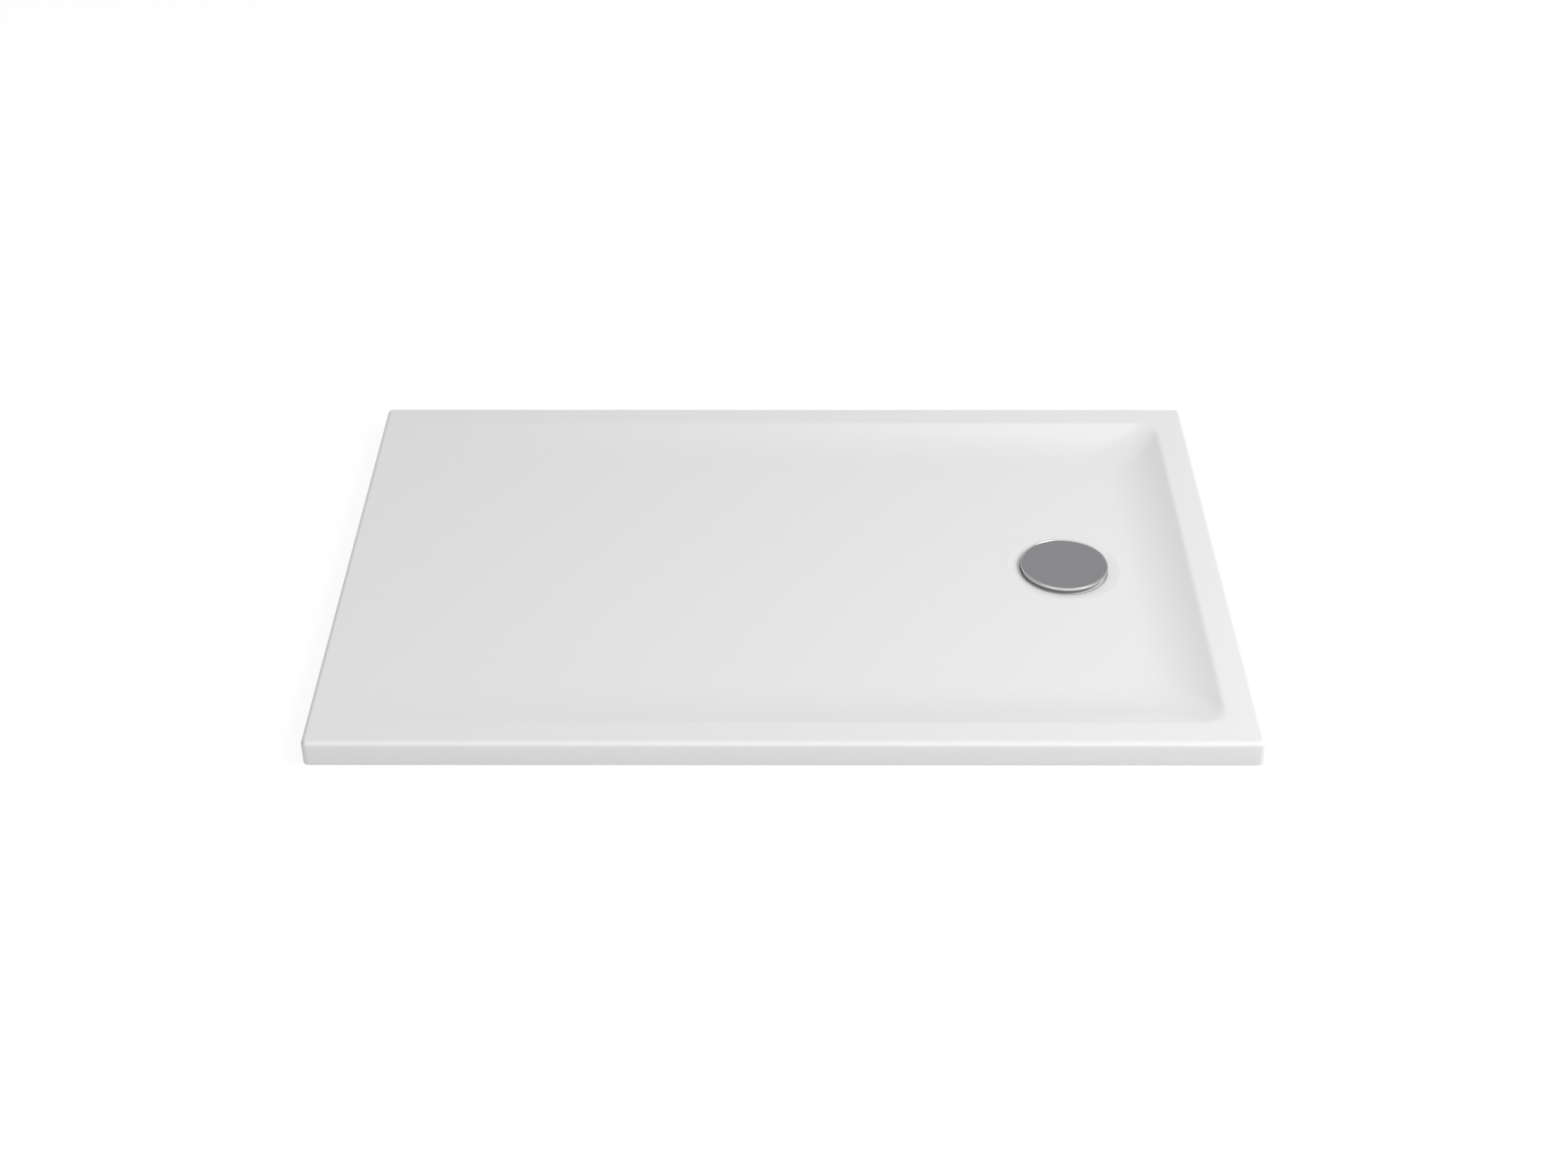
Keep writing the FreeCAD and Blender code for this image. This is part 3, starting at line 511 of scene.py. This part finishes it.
    def inset_of(self, spot: Array, halvings: int = 32) -> Array:
        """Inset of the contour that runs through each spot, found by halving between the rim and the floor.

        Args:
            spot: Points as (..., 2).
            halvings: How often the range is halved.

        Returns:
            The insets, held to the cove and its round at the rim.
        """
        low = np.full(spot.shape[:-1], -self.rim_round)
        high = np.full(spot.shape[:-1], self.cove)
        for _ in range(halvings):
            middle = (low + high) / 2
            inside = self.contour_distance(spot, middle) < 0.0
            low, high = np.where(inside, middle, low), np.where(inside, high, middle)
        return (low + high) / 2

    def share_of(self, inset: Array) -> Array:
        """Share of the floor's depth at each inset.

        Over the rim's round it is a parabola that starts level, and from there one that ends level at the
        floor.

        Args:
            inset: Insets from the rim line.

        Returns:
            Shares from 0 on the rim to 1 on the floor.
        """
        cove = 1.0 - (1.0 - np.clip(inset, 0.0, self.cove) / self.cove) ** 2
        start = 1.0 - (1.0 - self.rim_round / self.cove) ** 2
        over = np.clip(inset, -self.rim_round, None) + self.rim_round
        rolled = start * (over / (2 * self.rim_round)) ** 2
        return np.where(inset < self.rim_round, rolled, cove)

    def floor_plane(self, spot: Array) -> Array:
        """Height of the falling floor's plane at each spot."""
        return self.height - self.fall * np.maximum(spot[..., 0] - self.fall_start, 0.0)

    def surface(self, spot: Array) -> Array:
        """Height of rim, cove and floor at each spot."""
        depth = self.fall * np.maximum(spot[..., 0] - self.fall_start, 0.0)
        return self.height - self.share_of(self.inset_of(spot)) * depth

    def reach(self, drain: Array, rim: Array, inset: float, halvings: int = 40) -> Array:
        """How far along each ray from the drain to the rim a contour lies, found by halving.

        Args:
            drain: The drain's place, as (x, y).
            rim: The rays' far ends.
            inset: The contour's inset from the rim line.
            halvings: How often the range is halved.

        Returns:
            Shares of each ray's length.
        """
        low, high = np.zeros(len(rim)), np.ones(len(rim))
        for _ in range(halvings):
            middle = (low + high) / 2
            spot = drain + middle[:, None] * (rim - drain)
            inside = (self.contour_distance(spot, inset) < 0.0) & (spot[:, 0] > self.fall_start)
            low, high = np.where(inside, middle, low), np.where(inside, high, middle)
        return low

    def rows(self) -> list[Array]:
        """The skin's rows of points, from the apron's foot over the rim to the waste hole and back below.

        From the rim inwards each row lies on the rays from the drain to the outline, at a share of the way
        between two contours or at a radius from the drain.

        Returns:
            Arrays of (columns, 3), in millimetres.
        """
        points, normals = self.outline()
        top = self.height

        def ring(inset: float, z: float) -> Array:
            """Row at an inset from the outside and a height."""
            return np.column_stack([points - inset * normals, np.full(len(points), z)])

        def lifted(spot: Array, z: Array | float) -> Array:
            """Row from places and heights, or one height for all."""
            return np.column_stack([spot, np.broadcast_to(z, len(spot))])

        # The apron, its softened foot and the round into the rim.
        level = self.edge + self.flat_run
        bend = np.linspace(0.0, math.pi / 2, self.edge_rows)
        outside = [ring(inset, z) for inset, z in self.apron_foot]
        outside.append(ring(0.0, top - self.edge - self.apron_run))
        outside += [ring(self.edge * (1 - math.cos(a)), top - self.edge * (1 - math.sin(a))) for a in bend]
        outside.append(ring(level, top))

        # The cove, from the rim's round to its foot, and the falling floor from there to the dish.
        drain = np.array([self.drain_x, 0.0])
        rim = points - level * normals
        lip, foot = self.reach(drain, rim, -self.rim_round), self.reach(drain, rim, self.cove)
        reach = np.linalg.norm(rim - drain, axis=1)
        foot = np.minimum(foot, lip - self.least_cove / reach)
        insets = np.concatenate([np.linspace(-self.rim_round, self.rim_round, self.round_rows),
                                 np.linspace(2 * self.rim_round, self.cove, self.cove_rows)])
        share = (insets + self.rim_round) / (self.cove + self.rim_round)
        basin = [drain + (lip + (foot - lip) * s)[:, None] * (rim - drain) for s in share]
        toward = (rim - drain) / reach[:, None]
        near = (self.dish_radius + self.dish_margin) / reach
        flats = [drain + (foot + (near - foot) * s)[:, None] * (rim - drain)
                 for s in np.linspace(0.1, 1.0, self.floor_rows)]
        upper = [lifted(spot, self.surface(spot)) for spot in basin + flats]

        # The dish: a cone whose brink is softened by taking, for the way past it, half of that way plus the
        # hypotenuse of that way and the softening.
        slope = self.dish_depth / (self.dish_radius - self.dish_foot)
        for radius in self.dish_rings:
            spot = drain + radius * toward
            past = self.dish_radius - radius
            dip = slope * (past + math.hypot(past, self.dish_soft)) / 2
            upper.append(lifted(spot, self.floor_plane(spot) - dip))

        # The wall of the flange's recess, and the waste hole.
        brink = upper[-1][:, 2]
        for outward, share_up in self.recess_rings:
            spot = drain + (self.recess_radius + outward) * toward
            upper.append(lifted(spot, self.recess_z + share_up * (brink - self.recess_z)))
        hole = self.hole_radius
        for radius, z in ((hole + self.hole_break, 0.0), (hole, -self.hole_break), (hole, -self.skin)):
            upper.append(lifted(drain + radius * toward, self.recess_z + z))

        # The underside, which follows the upper face a skin's thickness lower, out to the apron's inner wall.
        below = [lifted(drain + (self.recess_radius + self.skin) * toward, self.recess_z - self.skin)]
        wide = drain + (self.dish_radius + self.under_margin) * toward
        below.append(lifted(wide, self.floor_plane(wide) - self.skin))
        spots = [flats[len(flats) // 2]] + basin[::-2]
        below += [lifted(spot, self.surface(spot) - self.skin) for spot in spots]
        below += [ring(level, top - self.skin), ring(self.skin, top - self.skin), ring(self.skin, 0.0)]
        return outside + upper + below

    def build(self, paints: Paints) -> bpy.types.Object:
        """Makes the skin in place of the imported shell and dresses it.

        Args:
            paints: The finishes.

        Returns:
            The piece.
        """
        piece = grid_piece("tray_skin", np.stack(self.rows()) * MM)
        paints.dress(piece, Finish.ACRYLIC)
        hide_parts("tray_shell")
        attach(piece, self.body)
        LOG.info("tray skin: %d faces", len(piece.data.polygons))
        paints.dress_nodes(["laminate_backing"], Finish.LAMINATE)
        paints.dress_nodes(["batten_front", "batten_back", "batten_entry", "batten_drain_end"], Finish.TIMBER)
        paints.dress_nodes(["foam_core"], Finish.FOAM)
        paints.dress_nodes(["base_board"], Finish.BOARD)
        return piece


# ---------------------------------------------------------------- the waste
@dataclass
class DrainCover:
    """Pressed, chromium-plated cap over a ribbed plastic carrier. Lengths are in millimetres.

    The cap's face is flat up to a fine groove, and a round bead runs on into the turned-down edge.

    Attributes:
        centre: The drain's axis as X and Y, in metres.
        radius: Outer radius of the cap.
        top: Height of the bead's crown.
        depth: Height of the turned-down edge.
        sheet: Thickness of the metal.
        bead: Width of the bead.
        bead_rise: Height of the bead over the face.
        groove: Width of the groove inside the bead, and twice its depth.
        corner_round: Reach of the rounding at each corner of the section.
        segments: Faces round the axis.
    """

    centre: Pair = (0.387, 0.0)
    radius: float = 60.0
    top: float = 27.2
    depth: float = 3.5
    sheet: float = 0.9
    bead: float = 1.9
    bead_rise: float = 0.35
    groove: float = 0.45
    corner_round: float = 0.45
    segments: int = 320

    def section(self) -> tuple[Pair, ...]:
        """Corners of the cap's section, from the middle of its underside round to the middle of its face.

        Returns:
            Corners as (radius, height).
        """
        face = self.top - self.bead_rise
        low = self.top - self.depth
        inside = self.radius - self.sheet
        foot = self.radius - self.bead
        return ((0.0, face - self.sheet), (inside, face - self.sheet), (inside, low), (self.radius, low),
                (self.radius, self.top - self.bead / 2), (self.radius - self.bead / 5, self.top),
                (foot + self.bead / 4, self.top), (foot, face - self.groove / 2),
                (foot - self.groove, face - self.groove / 2), (foot - 2 * self.groove, face), (0.0, face))

    def build(self, paints: Paints) -> None:
        """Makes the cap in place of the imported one, and dresses it and its carrier.

        Args:
            paints: The finishes.
        """
        piece = Turned("cover_disc", self.section(), self.corner_round, self.segments).build(self.centre)
        paints.dress(piece, Finish.COVER_METAL)
        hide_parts("cover_cap")
        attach(piece, "cover")
        LOG.info("cover disc: %d faces", len(piece.data.polygons))
        paints.dress_nodes(["cover_carrier"], Finish.GREY_PLASTIC)


@dataclass
class Waste:
    """Flange, seals, screws, trap, lift-out insert, sieve and outlet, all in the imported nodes' own shapes.

    Attributes:
        lift_out: What comes out by hand.
        drain_ware: The fixed plastic and the outlet.
        seals: The rubber rings.
    """

    lift_out: tuple[str, ...] = ("siphon_insert", "hair_sieve")
    drain_ware: tuple[str, ...] = ("waste_flange", "trap_body", "trap_cup", "outlet_socket", "union_nut",
                                   "outlet_pipe")
    seals: tuple[str, ...] = ("upper_seal", "lower_gasket", "ball_seal", "insert_o_ring")

    def build(self, paints: Paints) -> None:
        """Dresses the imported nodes.

        Args:
            paints: The finishes.
        """
        paints.dress_nodes(self.lift_out, Finish.GREY_PLASTIC)
        paints.dress_nodes(self.drain_ware, Finish.WHITE_PLASTIC)
        paints.dress_nodes(self.seals, Finish.RUBBER)
        paints.dress_nodes(["flange_screws"], Finish.STAINLESS)
        paints.dress_nodes(["insert_nuts"], Finish.BRASS)


# ---------------------------------------------------------------- studio
@dataclass(frozen=True)
class Lamp:
    """One square soft lamp.

    Attributes:
        name: The lamp's name.
        place: Its centre.
        aim: The point that it faces.
        size: Its side.
        watts: Its power.
    """

    name: str
    place: Triple
    aim: Triple
    size: float
    watts: float

    def hang(self) -> None:
        """Adds the lamp to the scene, unseen by the camera."""
        data = bpy.data.lights.new(self.name, "AREA")
        data.size = self.size
        data.energy = self.watts
        lamp = bpy.data.objects.new(self.name, data)
        lamp.location = self.place
        lamp.visible_camera = False
        toward = Vector(self.aim) - Vector(self.place)
        lamp.rotation_euler = toward.to_track_quat("-Z", "Y").to_euler()
        bpy.context.scene.collection.objects.link(lamp)


@dataclass(frozen=True)
class Card:
    """A flat card that only shows in gloss, as a photographer shapes what a shiny surface mirrors.

    Attributes:
        name: The card's name.
        place: Its centre.
        aim: The point that it faces.
        size: Its width and height.
        glow: Its luminance, where 1 is the white surround.
    """

    name: str
    place: Triple
    aim: Triple
    size: Pair
    glow: float

    def hang(self) -> None:
        """Adds the card, whose corners lie half its size to the sides of, over and under its centre."""
        facing = np.array(self.aim) - np.array(self.place)
        across = np.cross([0.0, 0.0, 1.0], facing)
        across /= np.linalg.norm(across)
        upward = np.cross(facing, across)
        upward /= np.linalg.norm(upward)
        corners = np.array([[-1, -1], [1, -1], [1, 1], [-1, 1]], float) * np.array(self.size) / 2
        outer = corners[:, :1] * across + corners[:, 1:] * upward
        card = grid_piece(self.name, np.stack([np.zeros((4, 3)), outer]) + np.array(self.place), loops=False)
        material, tree, _ = new_material("Card, matt")
        light = add_node(tree, "ShaderNodeEmission", Color=(1, 1, 1, 1), Strength=self.glow)
        show_instead(tree, light.outputs[0])
        card.data.materials.append(material)
        card.visible_camera = card.visible_diffuse = card.visible_shadow = card.visible_transmission = False


@dataclass
class Studio:
    """Camera, floor with a pit for the trap, soft lamps, cards and a plain white surround.

    Attributes:
        photo_width: Width of the photograph, in pixels.
        focal_px: Focal length, in the photograph's pixels.
        sensor_mm: Width of the sensor.
        eye: The camera's place.
        down_deg: How far it looks down.
        yaw_deg: How far it is turned to the left.
        room_level: Mean strength of the surround's light on matt surfaces.
        room_lean: How much stronger that light is towards +X, +Y and +Z.
        floor_reach: Half the floor's side.
        pit: Half the length and width of the pit under the tray.
        floor_sink: How far the floor lies below the apron's foot, so that the two faces never coincide.
        floor_colour: sRGB hex colour with which the floor lights the object.
        floor_glow: How bright the floor shows without any light on it, where 1 is white.
        floor_shade: Share of the light on the floor that shows, and with it the object's shadow.
        lamps: The soft lamps.
        cards: The cards.
    """

    photo_width: float = 2212.0
    focal_px: float = 3295.8
    sensor_mm: float = 36.0
    eye: Triple = (0.0029, -2.6416, 1.8763)
    down_deg: float = 35.588
    yaw_deg: float = 0.055
    room_level: float = 0.56
    room_lean: Triple = (0.45, -0.05, 0.10)
    floor_reach: float = 8.0
    pit: Pair = (0.594, 0.394)
    floor_sink: float = 0.0001
    floor_colour: str = "CFCFCF"
    floor_glow: float = 0.88
    floor_shade: float = 0.16
    lamps: tuple[Lamp, ...] = (
        Lamp("side", (1.912, -0.660, 2.298), (0.1, 0.0, 0.0), 1.3, 31.0),
        Lamp("front", (1.2, -3.90, 1.90), (0.1, 0.0, 0.0), 1.6, 25.0),
    )
    cards: tuple[Card, ...] = (
        Card("card_behind", (0.8, 3.0, 2.2), (0.8, 0.0, 2.2), (5.0, 3.4), 0.42),
        Card("card_left", (-3.2, 0.0, 1.4), (0.0, 0.0, 1.4), (4.0, 2.7), 0.25),
        Card("card_over", (0.3, -2.7, 2.5), (0.3, -0.4, 0.0), (6.0, 3.8), 2.0),
    )

    def place_camera(self) -> None:
        """Stands the camera where the photograph was taken from."""
        data = bpy.data.cameras.new("camera")
        data.sensor_width = self.sensor_mm
        data.lens = self.focal_px / self.photo_width * self.sensor_mm
        camera = bpy.data.objects.new("camera", data)
        camera.location = self.eye
        camera.rotation_euler = (math.radians(90.0 - self.down_deg), 0.0, math.radians(self.yaw_deg))
        bpy.context.scene.collection.objects.link(camera)
        bpy.context.scene.camera = camera

    def light_world(self) -> None:
        """Makes the surround: white where it is looked at, and a soft room light to matt surfaces.

        The room light's strength from a direction is the level plus the direction's dot product with the
        lean.
        """
        world = bpy.data.worlds.new("surround")
        world.use_nodes = True
        tree = world.node_tree
        tree.nodes.clear()
        toward = add_node(tree, "ShaderNodeTexCoord").outputs["Generated"]
        leaning = add_node(tree, "ShaderNodeVectorMath", {"operation": "DOT_PRODUCT"}, i0=toward,
                           i1=self.room_lean)
        room = add_node(tree, "ShaderNodeMath", {"operation": "ADD"}, i0=leaning.outputs["Value"],
                        i1=self.room_level)
        plain = add_node(tree, "ShaderNodeBackground", Color=(1, 1, 1, 1), Strength=room.outputs[0])
        white = add_node(tree, "ShaderNodeBackground", Color=(1, 1, 1, 1), Strength=1.0)
        mixed = add_node(tree, "ShaderNodeMixShader", i0=looked_at(tree), i1=plain.outputs[0],
                         i2=white.outputs[0])
        add_node(tree, "ShaderNodeOutputWorld", Surface=mixed.outputs[0])
        bpy.context.scene.world = world

    def lay_floor(self) -> None:
        """Lays the floor just below z = 0, as a frame round the pit; its paper keeps the object's shadow."""
        corners = np.array([[1, 1], [-1, 1], [-1, -1], [1, -1]], float)
        low = np.full(4, -self.floor_sink)
        grid = np.stack([np.column_stack([corners * self.floor_reach, low]),
                         np.column_stack([corners * self.pit, low])])
        floor = grid_piece("floor", grid, loops=False)
        material, tree, shader = new_material("Floor, white seamless paper")
        shader.inputs["Base Color"].default_value = linear(self.floor_colour)
        shader.inputs["Roughness"].default_value = 0.9
        lit = add_node(tree, "ShaderNodeBsdfDiffuse", Color=(self.floor_shade,) * 3 + (1.0,))
        glow = add_node(tree, "ShaderNodeEmission", Color=(1, 1, 1, 1), Strength=self.floor_glow)
        paper = add_node(tree, "ShaderNodeAddShader", i0=lit.outputs[0], i1=glow.outputs[0])
        mixed = add_node(tree, "ShaderNodeMixShader", i0=looked_at(tree), i1=shader.outputs[0],
                         i2=paper.outputs[0])
        show_instead(tree, mixed.outputs[0])
        floor.data.materials.append(material)

    def build(self) -> None:
        """Sets the light, the surround, the floor and the cards."""
        bpy.context.scene.view_settings.view_transform = "Standard"
        self.light_world()
        for lamp in self.lamps:
            lamp.hang()
        self.lay_floor()
        for card in self.cards:
            card.hang()
        LOG.info("studio: %d lamps, %d cards and the floor", len(self.lamps), len(self.cards))


def main() -> None:
    """Builds the tray, its waste and the studio."""
    logging.basicConfig(level=logging.INFO, format="%(name)s: %(message)s")
    studio = Studio()
    studio.place_camera()
    paints = Paints()
    TrayShell().build(paints)
    DrainCover().build(paints)
    Waste().build(paints)
    studio.build()


if __name__ == "__main__":
    main()
